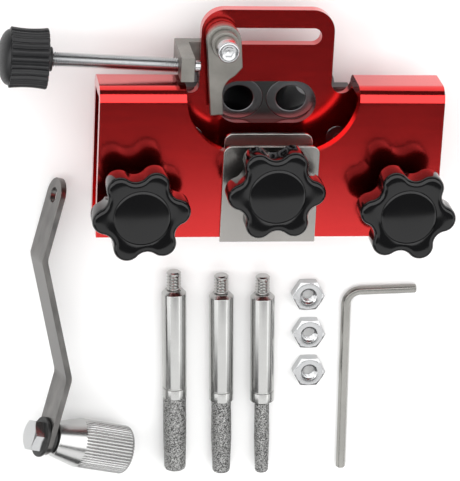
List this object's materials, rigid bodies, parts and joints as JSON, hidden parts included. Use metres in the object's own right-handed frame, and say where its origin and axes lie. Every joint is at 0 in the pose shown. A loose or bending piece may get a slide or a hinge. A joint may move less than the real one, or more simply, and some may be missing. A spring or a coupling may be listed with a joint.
{
  "type": "saw chain grinding jig",
  "caption": "Red bent-sheet jig with star clamp knobs, a swinging chain stop and two splayed guide bores, with a hand crank, grinding tools, nuts and a hex key.",
  "frame": {"origin": "middle of the guide block's rear face, on which the jig lies", "axes": "+X along the frame's width to the right, +Y up the frame's height, +Z out of its front"},
  "size_m": [0.1481, 0.1752, 0.0535],
  "materials": {
    "red_anodised": "brushed, red anodised",
    "block_steel": "blackened, satin",
    "guide_steel": "blackened, satin",
    "stainless": "brushed",
    "blasted_steel": "fine blasted",
    "zinc_steel": "bright zinc plated",
    "ribbed_plastic": "satin moulded",
    "knob_plastic": "polished",
    "crank_steel": "pickled mill finish",
    "black_washer": "matt",
    "handle_aluminium": "turned, straight knurled",
    "ground_steel": "ground and polished",
    "diamond_grit": "coarse electroplated grit",
    "key_steel": "nickel plated"
  },
  "bodies": {
    "jig": {"frame": "red_anodised", "guide_block": "block_steel", "guide_tube_left": "guide_steel", "guide_tube_right": "guide_steel", "block_screws": "zinc_steel", "saddle_plate": "stainless"},
    "stop_bracket": {"stop_bracket": "blasted_steel", "pawl_bush": "blasted_steel", "pawl_screw": "zinc_steel"},
    "stop_pawl": {"stop_pawl": "blasted_steel"},
    "adjuster_screw": {"adjuster_screw": "zinc_steel"},
    "adjuster_knob": {"adjuster_knob": "ribbed_plastic"},
    "left_stud": {"left_stud": "zinc_steel"},
    "left_knob": {"left_knob": "knob_plastic", "left_knob_cap": "knob_plastic"},
    "middle_stud": {"middle_stud": "zinc_steel"},
    "middle_knob": {"middle_knob": "knob_plastic", "middle_knob_cap": "knob_plastic"},
    "right_stud": {"right_stud": "zinc_steel"},
    "right_knob": {"right_knob": "knob_plastic", "right_knob_cap": "knob_plastic"},
    "crank": {"crank_arm": "crank_steel", "crank_bolt": "zinc_steel", "crank_disc": "black_washer", "crank_spacer": "black_washer", "handle_nut": "zinc_steel"},
    "crank_handle": {"crank_handle": "handle_aluminium"},
    "large_tool": {"large_tool": "ground_steel", "large_grit": "diamond_grit"},
    "medium_tool": {"medium_tool": "ground_steel", "medium_grit": "diamond_grit"},
    "small_tool": {"small_tool": "ground_steel", "small_grit": "diamond_grit"},
    "top_nut": {"top_nut": "zinc_steel"},
    "middle_nut": {"middle_nut": "zinc_steel"},
    "bottom_nut": {"bottom_nut": "zinc_steel"},
    "hex_key": {"hex_key": "key_steel"}
  },
  "joints": [
    {"name": "stop_slide", "type": "slide", "parent": "jig", "child": "stop_bracket", "axis": [1, 0, 0], "range_m": [0, 0.003]},
    {"name": "pawl_swing", "type": "hinge", "parent": "stop_bracket", "child": "stop_pawl", "pos_m": [-0.0158, 0.028, 0.0251], "axis": [0, 0, 1], "range_deg": [0, 95]},
    {"name": "adjuster_travel", "type": "slide", "parent": "stop_bracket", "child": "adjuster_screw", "axis": [0.999, -0.0454, 0], "range_m": [-0.004, 0.0012]},
    {"name": "adjuster_turn", "type": "hinge", "parent": "adjuster_screw", "child": "adjuster_knob", "pos_m": [-0.07754, 0.02109, 0.0227], "axis": [0.999, -0.0454, 0], "range_deg": [-1800, 540]},
    {"name": "left_clamp_travel", "type": "slide", "parent": "jig", "child": "left_stud", "axis": [0, 0, -1], "range_m": [-0.003, 0.005]},
    {"name": "left_knob_turn", "type": "hinge", "parent": "left_stud", "child": "left_knob", "pos_m": [-0.0435, -0.0227, 0.048], "axis": [0, 0, -1], "range_deg": [-1080, 1800]},
    {"name": "middle_clamp_travel", "type": "slide", "parent": "jig", "child": "middle_stud", "axis": [0, 0, -1], "range_m": [-0.0035, 0]},
    {"name": "middle_knob_turn", "type": "hinge", "parent": "middle_stud", "child": "middle_knob", "pos_m": [0, -0.0155, 0.048], "axis": [0, 0, -1], "range_deg": [-1260, 0]},
    {"name": "right_clamp_travel", "type": "slide", "parent": "jig", "child": "right_stud", "axis": [0, 0, -1], "range_m": [-0.003, 0.005]},
    {"name": "right_knob_turn", "type": "hinge", "parent": "right_stud", "child": "right_knob", "pos_m": [0.0435, -0.0227, 0.048], "axis": [0, 0, -1], "range_deg": [-1080, 1800]},
    {"name": "crank_lift", "type": "slide", "parent": "jig", "child": "crank", "axis": [0, 0, 1], "range_m": [0, 0.08]},
    {"name": "handle_spin", "type": "hinge", "parent": "crank", "child": "crank_handle", "pos_m": [-0.0557, -0.12235, 0.01211], "axis": [0.9269, -0.2899, -0.2386], "continuous": true},
    {"name": "large_tool_lift", "type": "slide", "parent": "jig", "child": "large_tool", "axis": [0, 0, 1], "range_m": [0, 0.08]},
    {"name": "medium_tool_lift", "type": "slide", "parent": "jig", "child": "medium_tool", "axis": [0, 0, 1], "range_m": [0, 0.08]},
    {"name": "small_tool_lift", "type": "slide", "parent": "jig", "child": "small_tool", "axis": [0, 0, 1], "range_m": [0, 0.08]},
    {"name": "top_nut_lift", "type": "slide", "parent": "jig", "child": "top_nut", "axis": [0, 0, 1], "range_m": [0, 0.08]},
    {"name": "middle_nut_lift", "type": "slide", "parent": "jig", "child": "middle_nut", "axis": [0, 0, 1], "range_m": [0, 0.08]},
    {"name": "bottom_nut_lift", "type": "slide", "parent": "jig", "child": "bottom_nut", "axis": [0, 0, 1], "range_m": [0, 0.08]},
    {"name": "hex_key_lift", "type": "slide", "parent": "jig", "child": "hex_key", "axis": [0, 0, 1], "range_m": [0, 0.08]}
  ],
  "couplings": [
    {"joint": "adjuster_travel", "follows": "adjuster_turn", "m_per_rad": 0.00012732},
    {"joint": "left_clamp_travel", "follows": "left_knob_turn", "m_per_rad": 0.00015915},
    {"joint": "middle_clamp_travel", "follows": "middle_knob_turn", "m_per_rad": 0.00015915},
    {"joint": "right_clamp_travel", "follows": "right_knob_turn", "m_per_rad": 0.00015915}
  ]
}
